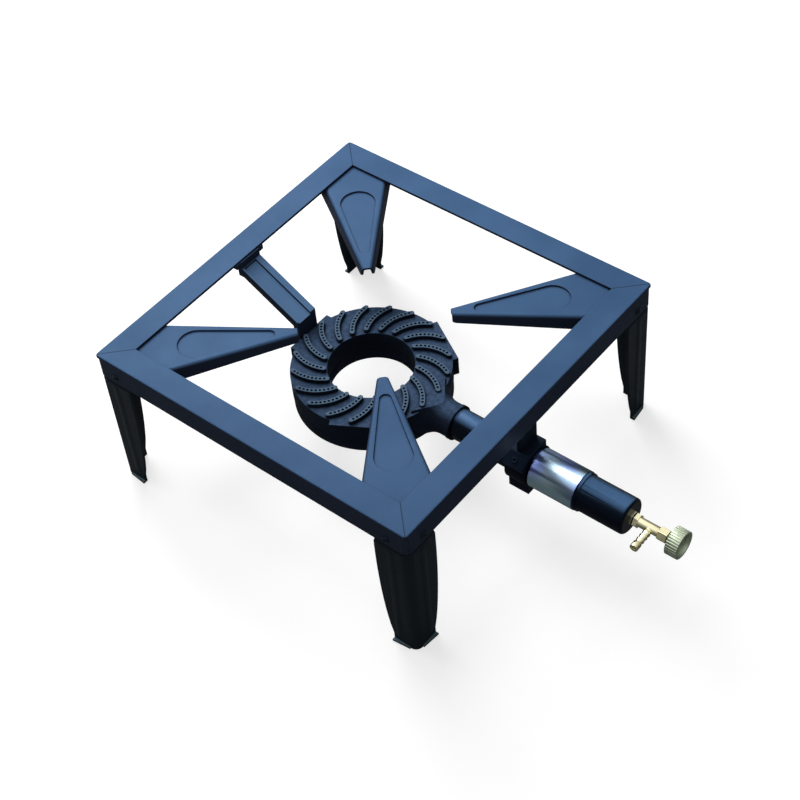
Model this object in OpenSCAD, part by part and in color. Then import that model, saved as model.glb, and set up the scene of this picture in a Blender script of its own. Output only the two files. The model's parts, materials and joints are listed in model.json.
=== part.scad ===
// Gas burner stove for a market stall: a square angle-steel frame on pressed legs,
// four pot supports, a cast ring burner, an air mixer and a needle valve at the front

/* [Frame] */
// Outer length of each side of the square frame
frame_side = 400; // [380:5:440]
// Height of the top face above the floor
frame_height = 180; // [172:2:220]
// Width of the rails' top flange
rail_width = 29.5; // [26:0.5:34]
// Depth of the rails' outer skirt
rail_depth = 27; // [25:0.5:32]
// Thickness of the rail steel
rail_wall = 3; // [2:0.5:4]
// Rounding along the rails' outer top edge
rail_edge_round = 1.8; // [0.5:0.1:1.9]
// Rounding of the four outer corners of the frame's top face
flange_corner_round = 4; // [4:0.5:6]
// Rounding of the skirts at the frame's corners, under the top face
skirt_corner_round = 8; // [7:0.5:8]

/* [Legs] */
// Thickness of the leg steel
leg_wall = 2.5; // [2:0.25:3]
// Width of each leg wing at its top
leg_top_width = 40; // [38:0.5:46]
// Width of each leg wing at the foot
leg_foot_width = 29; // [29:0.5:34]
// How far the wing's free edge bulges past a straight line
leg_bulge = 5.5; // [2:0.5:7]
// Outer radius of the leg's corner bend
leg_bend_radius = 8.5; // [8.5:0.5:12]
// Height of the step that brings the leg out from behind the skirt
leg_step = 5; // [4:0.5:8]
// Gap between the skirt's lower edge and that step
leg_step_gap = 0.5; // [0.5:0.5:2]
// How far the foot's lip turns outwards at its free end
leg_lip = 3.5; // [3:0.5:6]
// How far the foot's lip turns outwards at the corner bend
leg_lip_narrow = 1.4; // [1:0.2:2.6]
// Height of the straight stretch above the foot
leg_straight = 10; // [8:1:30]
// Radius of the pressed bead on each wing
bead_radius = 12; // [8:0.5:12]
// How far the bead stands proud of the wing
bead_height = 0.9; // [0.8:0.1:1.2]
// Distance of the bead from the leg's corner
bead_inset = 21.5; // [20:0.5:22.5]
// Height of the bead's lower end above the floor
bead_low = 14; // [12:1:20]

/* [Leg screws] */
// Radius of the leg screws' shank
leg_screw_r = 2; // [1.5:0.25:2.5]
// Radius of the leg screws' head
leg_screw_head_r = 4; // [3.5:0.25:5]
// Height of the leg screws' head
leg_screw_head = 2.4; // [2:0.2:3]
// Distance of each leg screw from the frame's corner
leg_screw_inset = 25; // [20:1:30]
// Height of the screws below the frame's top face
leg_screw_drop = 19.5; // [17:0.5:20]
// Thickness of the leg screws' nuts
leg_nut = 3; // [2.5:0.25:4]

/* [Pot supports] */
// Thickness of the support steel
support_wall = 2.5; // [2:0.25:3]
// Distance of each support's tip from the frame's centre
support_tip = 78; // [65:1:95]
// Width of the support at its tip
support_tip_width = 12; // [10:1:16]
// Outer radius of the fold along each long side
support_fold = 4; // [3.5:0.5:4.5]
// Angle that the side flanges lean outwards
support_splay = 11; // [0:1:15]
// Angle between a support's long side and its centre line
support_spread = 11.8; // [9:0.2:13]
// Gap between the support's root and the inside of the legs
support_root_gap = 3; // [1:0.5:6]
// Depth of the side flanges at the tip
support_tip_depth = 10; // [8:0.5:14]
// Depth of the side flanges at the root
support_root_depth = 16; // [12:0.5:20]
// Depth of the pressed teardrop panel
teardrop_depth = 2; // [1:0.25:2.25]
// Radius of the teardrop's wide end
teardrop_wide_r = 19; // [15:0.5:22]
// Radius of the teardrop's narrow end
teardrop_narrow_r = 6; // [4:0.5:6]
// Distance from the support's tip to the teardrop's narrow end
teardrop_start = 23; // [20:1:30]
// Distance between the centres of the teardrop's two ends
teardrop_length = 74; // [64:1:78]

/* [Burner] */
// Distance of the burner's centre behind the frame's centre
burner_back = 12; // [0:1:20]
// Outer radius of the burner ring
burner_r = 85; // [80:1:90]
// Radius of the burner's centre hole
burner_hole_r = 46; // [40:1:48]
// Height of the burner's top plate above the floor
burner_top = 105; // [100:1:110]
// Depth of the burner head casting
head_depth = 23; // [22:0.5:24]
// Depth of the pan that closes the burner from below
pan_depth = 15; // [14.5:0.25:18]
// Thickness of the burner's side walls
burner_wall = 4; // [3:0.25:5]
// Thickness of the head's top plate
burner_plate = 5; // [4:0.25:6]
// Thickness of the pan's floor
pan_floor = 3.2; // [2.5:0.1:3.4]
// How far the pan stays inside the head's outline
pan_inset = 0.5; // [0.3:0.1:1]
// Width of each flat pad on the burner's edge
pad_width = 59; // [50:1:62]
// Distance of the pads' flat faces from the burner's centre
pad_reach = 86; // [85:0.5:92]
// Radius of the burner's inner bosses
boss_r = 6.5; // [6:0.25:8]
// Distance of the pan screws from the burner's centre
pan_screw_reach = 65.5; // [64:0.5:67]
// Radius of the pan screws' shank
pan_screw_r = 2.5; // [2:0.25:3]
// Radius of the pan screws' head
pan_screw_head_r = 4.4; // [4:0.1:5]
// Height of the pan screws' head
pan_screw_head = 2.2; // [1.8:0.1:2.4]
// Length of the pan screws' shank
pan_screw_length = 22; // [18:1:26]

/* [Flame ribs] */
// Number of curved ribs on the burner head
rib_count = 20; // [16:1:22]
// Width of each rib
rib_width = 5.4; // [4.5:0.1:6]
// Height of each rib above the plate
rib_height = 4.6; // [2.5:0.1:5]
// Distance of a rib's inner end from the burner's centre
rib_inner = 49.5; // [48:0.5:54]
// Distance of a rib's outer end from the burner's centre
rib_outer = 81.5; // [76:0.5:82]
// Angle that a rib sweeps from its inner end to its outer end
rib_sweep = 20; // [14:1:24]
// Radius of a rib's curve
rib_curve_r = 46; // [38:1:70]
// Number of flame ports in each rib
port_count = 9; // [6:1:10]
// Radius of a flame port
port_r = 1.25; // [0.75:0.05:1.25]

/* [Burner neck] */
// Height of the gas line's axis above the floor
axis_height = 88; // [87:0.5:89]
// Outer radius of the neck
neck_r = 18.5; // [18:0.25:18.5]
// Radius of the neck where it flares into the burner
neck_flare_r = 34; // [24:0.5:38]
// Length of the flare in front of the burner ring
neck_flare = 16; // [10:1:22]
// Length of the neck in front of the burner ring
neck_length = 29; // [26:1:36]
// Height of the lip round the neck's front end
neck_lip = 0.8; // [0.4:0.1:1.2]
// Depth of the mixing tube's socket in the neck
socket_depth = 20; // [14:1:24]

/* [Mixing tube] */
// Outer radius of the mixing tube
tube_r = 16.8; // [16:0.1:17]
// Wall thickness of the mixing tube
tube_wall = 2.8; // [2:0.1:3.5]
// How far the mixing tube reaches into the mixer
tube_overlap = 10; // [6:1:14]

/* [Collar] */
// Outer radius of the collar that carries the mixing tube
collar_r = 22.5; // [21:0.5:24]
// Length of the collar along the tube
collar_length = 24; // [18:1:26]
// Width of the collar's block
collar_width = 31; // [28:1:34]
// Height of the block above the tube's axis
collar_rise = 25.5; // [24.5:0.5:28]
// Depth of the block below the tube's axis
collar_drop = 29; // [25:0.5:31]
// Width of the collar's neck under the front rail
collar_neck_width = 25; // [18:1:27]
// Thickness of the collar's neck
collar_neck_wall = 6; // [4:0.5:8]
// Distance of the neck's front face behind the collar's
collar_neck_back = 9; // [7:0.5:10]
// Distance of the lug's end from the tube's axis
collar_lug_reach = 29; // [26:0.5:31]
// Width of the lug that holds the set screw
collar_lug_width = 17; // [14:0.5:20]
// Radius of the collar's set screw
set_screw_r = 3; // [2.5:0.25:3.5]

/* [Rear arm] */
// Width of the arm's beam
arm_width = 28; // [24:1:32]
// Thickness of the arm's walls
arm_wall = 4; // [3:0.25:4.5]
// Width of the rim on the right of the sunk panel
arm_rim_right = 7.5; // [4.5:0.5:8]
// Width of the rim on the left of the sunk panel
arm_rim_left = 2.5; // [2.5:0.5:6]
// Depth of the arm's beam
arm_depth = 10; // [9:0.5:14]
// Depth of the sunk panel on the arm
arm_recess = 2.2; // [1:0.1:2.4]
// Thickness of the arm's flange at the burner
arm_flange = 7; // [6:0.5:9]
// Height of the arm's burner end above the burner plate
arm_rise = 23; // [18:1:28]
// Width of the arm's foot on the rear rail
arm_foot_width = 41; // [38:1:56]
// Thickness of the foot's plate under the rail
arm_foot = 6; // [5:0.5:8]
// Height of the foot's inner face above the arm
arm_foot_face = 9; // [6:0.5:10]
// How far the foot stands out past the rail's inner edge
arm_foot_reach = 0.5; // [0:0.5:6]
// Distance between the two screws of the arm's foot
arm_screw_gap = 28; // [26:1:29]
// Radius of the arm screws' shank
arm_screw_r = 2.5; // [2:0.25:3]
// Height of the arm screws' head
arm_screw_head = 2.8; // [2.4:0.1:3]
// Radius of the bolt that joins the arm to the burner
arm_bolt_r = 3; // [2.5:0.25:3.5]

/* [Mixer] */
// Outer radius of the mixer body
mixer_r = 19.5; // [19:0.1:20]
// Length of the mixer body in front of the shutter
mixer_cup_length = 56.5; // [46:0.5:66]
// Wall thickness of the mixer body
mixer_wall = 3; // [2.5:0.1:4]
// Thickness of the mixer's closed end
mixer_end = 12; // [9:0.5:15]
// Rounding of the mixer's closed end
mixer_round = 3.5; // [2.5:0.5:6]
// Radius of the ring that stops the shutter
mixer_stop_r = 20.8; // [20.5:0.1:21.2]
// Width of the ring that stops the shutter
mixer_stop = 3.6; // [2:0.2:5]

/* [Air shutter] */
// Length of the chrome shutter
shutter_length = 52; // [42:1:56]
// Wall thickness of the chrome shutter
shutter_wall = 1.8; // [1.4:0.1:2]
// Running clearance between the shutter and the mixer
shutter_clearance = 0.1; // [0.05:0.01:0.15]
// Gap between the shutter's rear end and the collar
shutter_gap = 3; // [1:0.5:5]
// Length of the air windows
window_length = 28; // [20:1:34]
// Angle that each air window opens
window_angle = 60; // [40:2:70]

/* [Valve] */
// Width across flats of the lock nut
lock_nut_flats = 14; // [13.5:0.5:18]
// Thickness of the lock nut
lock_nut = 3; // [2.5:0.25:5]
// Radius of the valve's threaded nose
nose_r = 5.5; // [5.25:0.25:5.75]
// How far the nose stands out inside the mixer
nose_reach = 8; // [6:0.5:10]
// Thickness of the rubber seal behind the valve's hexagon
valve_seal = 1.5; // [1:0.1:2]
// Width across flats of the valve's hexagon
valve_flats = 13; // [13:0.5:16]
// Length of the valve's hexagon
valve_hex = 4.5; // [4:0.5:8]
// Radius of the valve's round body
valve_r = 5.2; // [5:0.1:6]
// Length of the valve's round body
valve_length = 23; // [23:0.5:30]
// Radius of the gas passage at the needle's seat
seat_r = 1.4; // [1.3:0.1:1.8]
// Width across flats of the gland nut
gland_flats = 13; // [12:0.5:15]
// Length of the gland nut
gland_length = 10; // [9:0.5:12]
// Radius of the gland's thread
gland_thread_r = 4; // [3.8:0.1:4.2]

/* [Hose tail] */
// Distance of the hose tail in front of the valve's hexagon
tail_front = 13; // [7:0.5:18]
// Reach of the hose tail from the valve's axis
tail_reach = 30; // [26:1:36]
// Radius of the hose tail's ridges and of its end
tail_r = 4.4; // [4:0.1:4.6]
// Radius of the hose tail between its ridges
tail_groove_r = 3.6; // [3.4:0.1:3.8]
// Radius of the hose tail's bore
tail_bore_r = 2.2; // [1.8:0.1:2.4]
// Length of the plain end of the hose tail
tail_end = 7; // [6:0.5:9]
// Pitch of the hose tail's ridges
tail_pitch = 5; // [4.5:0.25:5.5]

/* [Injector] */
// Width across flats of the injector
injector_flats = 12; // [12:0.5:14]
// Length of the injector
injector_length = 14; // [12:0.5:18]
// Radius of the injector's gas jet
jet_r = 0.6; // [0.4:0.05:0.9]

/* [Spindle and knob] */
// Radius of the valve's spindle
spindle_r = 2.4; // [2.2:0.05:2.5]
// Running clearance round the spindle
spindle_clearance = 0.06; // [0.03:0.01:0.09]
// Gap between the gland nut and the knob
knob_gap = 4; // [3:0.5:7]
// Radius of the knob
knob_r = 15; // [13:0.5:17]
// Thickness of the knob
knob_thickness = 13; // [12:0.5:16]
// Depth of the dish in the knob's front face
knob_dish = 4; // [3:0.25:5]
// Width of the rim round the knob's dish
knob_rim = 3.2; // [2.5:0.1:4]
// Number of flutes round the knob
knob_flutes = 32; // [20:2:48]
// Radius of the knob screw's head
knob_screw_head_r = 3.2; // [3:0.1:3.5]
// Height of the knob screw's head
knob_screw_head = 1.8; // [1.4:0.1:2]
// Radius of the knob screw's shank
knob_screw_r = 1.3; // [1:0.1:1.5]

/* [Hidden] */
$fn = 64;
// small overlap that keeps cuts clean
cut = 0.5;
// gap round a shank in its clearance hole
hole_gap = 0.25;
// gap round a shank in its thread
thread_gap = 0.05;
half = frame_side / 2;
flange_under = frame_height - rail_wall;
skirt_inside = half - rail_wall;
leg_step_top = frame_height - rail_depth - leg_step_gap;
leg_screw_z = frame_height - leg_screw_drop;
nut_flats_ratio = 1.75;

// pot supports
support_slope = tan(support_spread);
support_tip_half = support_tip_width / 2;
support_root = (skirt_inside - leg_wall - support_root_gap) * sqrt(2);
support_wide = (support_root - support_tip_half + support_slope * support_tip) / (1 + support_slope);
support_wide_half = support_root - support_wide;

// burner
burner_y = burner_back;
head_bottom = burner_top - head_depth;
pan_bottom = head_bottom - pan_depth;
chamber_top = burner_top - burner_plate;
chamber_r = burner_r - burner_wall;
chamber_hole_r = burner_hole_r + burner_wall;
pad_angles = [90, 210, 330];
pan_screw_angles = [60, 180, 300];
rib_from = [rib_inner, 0];
rib_to = [rib_outer * cos(rib_sweep), -rib_outer * sin(rib_sweep)];
rib_chord = norm(rib_to - rib_from);
rib_along = (rib_to - rib_from) / rib_chord;
rib_centre = (rib_from + rib_to) / 2
    + [rib_along[1], -rib_along[0]] * sqrt(pow(rib_curve_r, 2) - pow(rib_chord / 2, 2));
rib_start_angle = atan2(rib_to[1] - rib_centre[1], rib_to[0] - rib_centre[0]);
rib_turn = 2 * asin(rib_chord / 2 / rib_curve_r);
port_margin = rib_turn * 0.07;

// stations along the gas line, as distances in front of the frame's centre
ring_front = burner_r - burner_y;
neck_end = ring_front + neck_length;
tube_start = neck_end - socket_depth;
collar_front = half;
collar_rear = collar_front - collar_length;
set_screw_station = collar_rear + collar_length / 2;
tube_end = collar_front + tube_overlap;
shutter_rear = collar_front + shutter_gap;
shutter_front = shutter_rear + shutter_length;
stop_rear = shutter_front + 0.3;
stop_front = stop_rear + mixer_stop;
mixer_front = stop_front + mixer_cup_length - mixer_stop;
window_rear = shutter_rear + (shutter_length - window_length) / 2;
nose_rear = mixer_front - mixer_end - nose_reach;
seal_rear = mixer_front + lock_nut;
hex_rear = seal_rear + valve_seal;
valve_rear = hex_rear + valve_hex;
gland_rear = valve_rear + valve_length;
gland_front = gland_rear + gland_length;
knob_rear = gland_front + knob_gap;
knob_front = knob_rear + knob_thickness;
dish_floor = knob_front - knob_dish;
spindle_front = dish_floor - 3;
seat_station = hex_rear + 3;
needle_length = 3;
// how far the needle enters the seat, and its tip's radius for a clear gap there
needle_reach = 1.5;
needle_gap = 0.1;
needle_tip_r = seat_r - needle_gap
    - (spindle_r - seat_r + needle_gap) * needle_reach / needle_length;
gas_chamber_r = 3.2;
tail_station = valve_rear + tail_front;
shutter_in_r = mixer_r + shutter_clearance;
shutter_out_r = shutter_in_r + shutter_wall;
spindle_bore_r = spindle_r + spindle_clearance;
packing_length = 2.4;
gland_wall = 2.6;

// rear arm
pad_y = burner_y + pad_reach;
arm_top_rear = flange_under - arm_foot_face;
arm_top_front = burner_top + arm_rise;
arm_rear_y = half - rail_width - arm_foot_reach;
arm_slope = atan2(arm_top_rear - arm_top_front, arm_rear_y - pad_y);
arm_screw_z = frame_height - rail_depth + 9;
arm_bolt_z = (head_bottom + burner_top) / 2 + 1.2;

// the origin lies on the floor under the middle of the whole stove
rear_reach = half + max(leg_lip, leg_screw_head, arm_screw_head);
origin_shift = (knob_front - rear_reach) / 2;

module place() {
    translate([0, origin_shift, 0]) children();
}

// a cylinder on the gas line, between two stations
module run(r, from, to) {
    translate([0, -from, axis_height]) rotate([90, 0, 0]) cylinder(r = r, h = to - from);
}

// a hexagon on the gas line, with a flat on top
module hex_run(flats, from, to) {
    translate([0, -from, axis_height]) rotate([90, 0, 0])
        cylinder(r = flats / 2 / cos(30), h = to - from, $fn = 6);
}

// a sector of a disc on the gas line, centred on an angle from +X towards +Z
module sector_run(r, from, to, centre, angle) {
    translate([0, -from, axis_height]) rotate([90, 0, 0]) rotate([0, 0, centre - angle / 2])
        rotate_extrude(angle = angle) square([r, to - from]);
}

// a square with round corners, made of exact shapes
module round_square(side, r) {
    square([side, side - 2 * r], center = true);
    square([side - 2 * r, side], center = true);
    for (x = [-1, 1], y = [-1, 1])
        translate([x * (side / 2 - r), y * (side / 2 - r)]) circle(r = r);
}

// what lies between two rays from the frame's centre, on the front side
module mitre_wedge() {
    linear_extrude(frame_height + 1)
        polygon([[0, 0], [-frame_side, -frame_side], [frame_side, -frame_side]]);
}

// front rail, with its flange, skirt and leg screw holes
module rail() {
    corner = half - flange_corner_round;
    difference() {
        intersection() {
            mitre_wedge();
            union() {
                translate([0, 0, flange_under]) linear_extrude(rail_wall) difference() {
                    round_square(frame_side, flange_corner_round);
                    square(frame_side - 2 * rail_width, center = true);
                }
                translate([0, 0, frame_height - rail_depth]) linear_extrude(rail_depth - rail_wall)
                    difference() {
                        round_square(frame_side, skirt_corner_round);
                        round_square(2 * skirt_inside, skirt_corner_round - rail_wall);
                    }
            }
        }
        difference() {
            translate([-corner, -half - cut, frame_height - rail_edge_round])
                cube([2 * corner, rail_edge_round + cut, rail_edge_round + cut]);
            translate([-half, -half + rail_edge_round, frame_height - rail_edge_round])
                rotate([0, 90, 0]) cylinder(r = rail_edge_round, h = frame_side);
        }
        for (side = [-1, 1]) translate([side * corner, -corner, frame_height - rail_edge_round])
            rotate([0, 0, 225 + side * 45]) rotate_extrude(angle = 90) difference() {
                translate([flange_corner_round - rail_edge_round, 0])
                    square(rail_edge_round + cut);
                translate([flange_corner_round - rail_edge_round, 0]) circle(r = rail_edge_round);
            }
        for (side = [-1, 1])
            translate([side * (half - leg_screw_inset), -half - cut, leg_screw_z])
                rotate([-90, 0, 0]) cylinder(r = leg_screw_r + hole_gap, h = rail_wall + 2 * cut);
    }
}

module front_rail() {
    color([0.16, 0.22, 0.33]) rail();
}

module right_rail() {
    color([0.16, 0.22, 0.33]) rotate([0, 0, 90]) rail();
}

module rear_rail() {
    color([0.16, 0.22, 0.33]) difference() {
        rotate([0, 0, 180]) rail();
        for (side = [-1, 1])
            translate([side * arm_screw_gap / 2, half + cut, arm_screw_z]) rotate([90, 0, 0])
                cylinder(r = arm_screw_r + hole_gap, h = rail_wall + 2 * cut);
    }
}

module left_rail() {
    color([0.16, 0.22, 0.33]) rotate([0, 0, -90]) rail();
}

// free edge of a leg wing, as its distance from the corner at a height, with its bulge set low
function wing_width(z) =
    let (f = max(0, min(1, (z - leg_straight) / (flange_under - leg_straight))), g = pow(f, 0.8))
    leg_foot_width + (leg_top_width - leg_foot_width) * f + 4 * leg_bulge * g * (1 - g);

// section through the leg's sheet, as its distance in from the skirt's outer face and its height
function leg_section() =
    let (bent = leg_wall * tan(atan2(rail_wall, leg_step) / 2), back = rail_wall + leg_wall)
    [[0, 0], [leg_wall, 0], [leg_wall, leg_step_top - leg_step - bent], [back, leg_step_top - bent],
     [back, flange_under], [rail_wall, flange_under], [rail_wall, leg_step_top],
     [0, leg_step_top - leg_step]];

// one wing of a leg, lying along +X from the frame's corner with the skirt's outer face at y = 0
module leg_wing() {
    steps = 14;
    intersection() {
        translate([0, frame_side / 8, 0]) rotate([90, 0, 0]) linear_extrude(frame_side / 4)
            polygon(concat(
                [[leg_bend_radius, -1], [leg_foot_width, -1], [leg_foot_width, leg_straight]],
                [for (i = [1 : steps])
                    let (z = leg_straight + (flange_under - leg_straight) * i / steps)
                    [wing_width(z), z]],
                [[leg_top_width, flange_under + 1], [leg_bend_radius, flange_under + 1]]));
        translate([leg_bend_radius, 0, 0]) rotate([90, 0, 90])
            linear_extrude(frame_side / 4) polygon(leg_section());
    }
}

// pressed bead on a wing, solid for 0 and hollow inside for a wall's thickness
module leg_bead(inset) {
    r = bead_radius - inset;
    high = leg_step_top - leg_step - sqrt(2 * bead_radius * bead_height) - 1;
    translate([bead_inset, bead_radius - bead_height, bead_low]) {
        cylinder(r = r, h = high - bead_low);
        sphere(r = r);
        translate([0, 0, high - bead_low]) sphere(r = r);
    }
}

module leg_half() {
    difference() {
        union() {
            leg_wing();
            intersection() {
                leg_bead(0);
                translate([0, -bead_height - cut, 0])
                    cube([leg_foot_width, bead_height + cut + leg_wall, frame_height]);
            }
        }
        leg_bead(leg_wall);
        translate([leg_screw_inset, rail_wall - cut, leg_screw_z]) rotate([-90, 0, 0])
            cylinder(r = leg_screw_r + hole_gap, h = leg_wall + 2 * cut);
    }
    linear_extrude(leg_wall) polygon([[leg_bend_radius, 0], [leg_bend_radius, -leg_lip_narrow],
                                      [leg_foot_width, -leg_lip], [leg_foot_width, 0]]);
}

// a leg with the frame's outer corner at the origin and its wings along +X and +Y
module leg() {
    leg_half();
    mirror([1, -1, 0]) leg_half();
    translate([leg_bend_radius, leg_bend_radius, 0]) rotate([0, 0, 180]) rotate_extrude(angle = 90)
        polygon([for (p = leg_section()) [leg_bend_radius - p[0], p[1]]]);
}

module leg_at(turn) {
    color([0.10, 0.12, 0.17])
        rotate([0, 0, turn]) translate([-half, -half, 0]) leg();
}

module front_left_leg() {
    leg_at(0);
}

module front_right_leg() {
    leg_at(90);
}

module rear_right_leg() {
    leg_at(180);
}

module rear_left_leg() {
    leg_at(270);
}

// the two places where screws hold a leg, as seen at the front left corner
module at_leg_screws() {
    for (turn = [0, 90, 180, 270]) rotate([0, 0, turn]) {
        translate([-half + leg_screw_inset, -half, leg_screw_z]) rotate([90, 0, 0]) children();
        translate([-half, -half + leg_screw_inset, leg_screw_z]) rotate([0, -90, 0]) children();
    }
}

// pan head screw, with its seat at z = 0 and its head above
module pan_screw(r, head_r, head, length) {
    rotate_extrude() {
        intersection() {
            square([head_r, head]);
            translate([0, head - head_r * 1.4]) circle(r = head_r * 1.4);
        }
        translate([0, -length]) square([r, length]);
    }
}

module leg_screws() {
    color([0.35, 0.37, 0.40]) at_leg_screws() difference() {
        pan_screw(leg_screw_r, leg_screw_head_r, leg_screw_head,
                  rail_wall + leg_wall + leg_nut + 1.5);
        for (turn = [0, 90]) rotate([0, 0, turn])
            translate([-leg_screw_head_r * 0.55, -0.5, leg_screw_head - 1.2])
                cube([leg_screw_head_r * 1.1, 1, 1.2 + cut]);
    }
}

// hexagon nut, with its seat at z = 0 and its body below
module nut(r, thickness) {
    translate([0, 0, -thickness]) difference() {
        cylinder(r = r * nut_flats_ratio / cos(30), h = thickness, $fn = 6);
        translate([0, 0, -cut]) cylinder(r = r + thread_gap, h = thickness + 2 * cut);
    }
}

module leg_nuts() {
    color([0.45, 0.47, 0.50]) at_leg_screws()
        translate([0, 0, -rail_wall - leg_wall]) nut(leg_screw_r, leg_nut);
}

// points on an arc round a centre on the X axis, from one angle to another
function arc_points(x, r, from, to, steps) =
    [for (i = [0 : steps]) let (a = from + (to - from) * i / steps) [x + r * cos(a), r * sin(a)]];

// teardrop outline, with its narrow end's centre at the origin and its wide end along +X
module teardrop(grow) {
    narrow = teardrop_narrow_r + grow;
    wide = teardrop_wide_r + grow;
    lean = 90 + asin((wide - narrow) / teardrop_length);
    polygon(concat(arc_points(0, narrow, lean, 360 - lean, 10),
                   arc_points(teardrop_length, wide, -lean, lean, 32)));
}

// all that lies outside a pot support's left long side, or outside the hollow under it
module support_outside(inset) {
    reach = 4 * support_root_depth;
    r = support_fold - inset;
    // the fold meets its web and its flange at a slight angle
    meet = cos(3);
    translate([support_tip, support_tip_half, flange_under]) rotate([0, 0, support_spread])
        translate([-reach, 0, 0]) rotate([90, 0, 90])
            linear_extrude(support_root - support_tip + 2 * reach)
                translate([-support_fold, -support_fold * meet]) difference() {
                    translate([0, -reach]) square(2 * reach);
                    circle(r = r);
                    rotate([0, 0, support_splay]) translate([-reach, -2 * reach])
                        square([reach + r * meet, 2 * reach]);
                }
}

// a pot support without its hollow for 0, and the hollow itself for a wall's inset
module support_block(inset, past) {
    wide = 2 * support_wide_half;
    difference() {
        translate([0, 0, flange_under - 3 * support_root_depth - past])
            linear_extrude(3 * support_root_depth + past - inset)
                polygon([[support_tip - past, -wide], [support_tip - past, wide],
                         [support_root + past - wide, wide], [support_root + past, 0],
                         [support_root + past - wide, -wide]]);
        support_outside(inset);
        mirror([0, 1, 0]) support_outside(inset);
    }
}

// pot support that points along +X away from the frame's centre: a folded channel with open ends
module support() {
    panel_x = support_tip + teardrop_start + teardrop_narrow_r;
    difference() {
        union() {
            difference() {
                support_block(0, 0);
                support_block(support_wall, cut);
            }
            translate([panel_x, 0, flange_under - teardrop_depth - support_wall])
                linear_extrude(teardrop_depth + support_wall / 2) teardrop(support_wall * 0.6);
        }
        translate([panel_x, 0, flange_under - teardrop_depth])
            linear_extrude(teardrop_depth + cut) teardrop(0);
        translate([0, half, flange_under]) rotate([90, 0, 0]) linear_extrude(frame_side)
            polygon([[support_tip - 5, -support_tip_depth + 3],
                     [support_tip + 3, -support_tip_depth],
                     [support_wide - 3, -support_root_depth],
                     [support_root + 5, -support_fold - 2],
                     [support_root + 5, -4 * support_root_depth],
                     [support_tip - 5, -4 * support_root_depth]]);
    }
}

module support_at(turn) {
    color([0.16, 0.22, 0.33]) rotate([0, 0, turn]) support();
}

module front_left_support() {
    support_at(225);
}

module front_right_support() {
    support_at(315);
}

module rear_right_support() {
    support_at(45);
}

module rear_left_support() {
    support_at(135);
}

// outside of the burner's neck, grown by a gap where the pan makes room for it
module neck_outside(grow) {
    low = axis_height - neck_r - neck_lip - 0.2 - grow;
    high = axis_height + neck_r + neck_lip + 0.2;
    inside = 2.2 * burner_wall;
    steps = 8;
    intersection() {
        translate([0, -ring_front + inside, axis_height]) rotate([90, 0, 0]) rotate_extrude()
            polygon(concat(
                [[0, 0]],
                [for (i = [0 : steps]) let (f = i / steps)
                    [neck_r + grow + (neck_flare_r - neck_r) * pow(1 - f, 2),
                     f * (inside + neck_flare)]],
                [[neck_r + grow, inside + neck_length - 5],
                 [neck_r + neck_lip + grow, inside + neck_length - 4],
                 [neck_r + neck_lip + grow, inside + neck_length],
                 [0, inside + neck_length]]));
        translate([-50, -neck_end - cut, low]) cube([100, neck_end + cut, high - low]);
    }
}

// outline of the burner head, a ring with three flat pads
module head_outline() {
    circle(r = burner_r);
    for (a = pad_angles) rotate([0, 0, a])
        translate([0, -pad_width / 2]) square([pad_reach, pad_width]);
}

module rib() {
    end_r = rib_width / 2 - 0.05;
    translate([rib_centre[0], rib_centre[1], burner_top - cut]) rotate([0, 0, rib_start_angle]) {
        rotate_extrude(angle = rib_turn)
            translate([rib_curve_r - rib_width / 2, 0]) square([rib_width, rib_height + cut]);
        for (a = [0, rib_turn]) rotate([0, 0, a])
            translate([rib_curve_r, 0, 0]) cylinder(r = end_r, h = rib_height + cut);
    }
}

module rib_ports() {
    step = (rib_turn - 2 * port_margin) / (port_count - 1);
    for (i = [0 : port_count - 1])
        translate([rib_centre[0], rib_centre[1], chamber_top - cut])
            rotate([0, 0, rib_start_angle + port_margin + i * step])
                translate([rib_curve_r, 0, 0])
                    cylinder(r = port_r, h = burner_plate + rib_height + 2 * cut, $fn = 16);
}

module burner_head() {
    color([0.13, 0.15, 0.20]) translate([0, burner_y, 0]) difference() {
        union() {
            difference() {
                union() {
                    translate([0, 0, head_bottom]) linear_extrude(head_depth) head_outline();
                    translate([0, -burner_y, 0]) neck_outside(0);
                }
                translate([0, 0, pan_bottom - cut]) difference() {
                    cylinder(r = chamber_r, h = chamber_top - pan_bottom + cut);
                    cylinder(r = chamber_hole_r, h = chamber_top - pan_bottom + cut);
                }
                translate([0, -burner_y, 0]) {
                    run(tube_r - tube_wall, chamber_r - burner_y - 12, tube_start + cut);
                    run(tube_r + thread_gap, tube_start, neck_end + cut);
                }
            }
            for (a = pan_screw_angles) rotate([0, 0, a])
                translate([pan_screw_reach, 0, head_bottom])
                    cylinder(r = boss_r, h = chamber_top - head_bottom + cut);
            translate([0, chamber_r - 8, arm_bolt_z]) rotate([-90, 0, 0])
                cylinder(r = boss_r, h = 8 + cut);
            for (i = [0 : rib_count - 1]) rotate([0, 0, 81 + i * 360 / rib_count]) rib();
        }
        translate([0, 0, pan_bottom - cut]) cylinder(r = burner_hole_r, h = 3 * head_depth);
        for (a = pan_screw_angles) rotate([0, 0, a])
            translate([pan_screw_reach, 0, head_bottom - cut])
                cylinder(r = pan_screw_r + thread_gap,
                         h = pan_screw_length - pan_depth + pan_screw_head + 1 + cut);
        translate([0, chamber_r - 6, arm_bolt_z]) rotate([-90, 0, 0])
            cylinder(r = arm_bolt_r + thread_gap, h = pad_reach - chamber_r + 6 + cut);
        for (i = [0 : rib_count - 1]) rotate([0, 0, 81 + i * 360 / rib_count]) rib_ports();
    }
}

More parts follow.
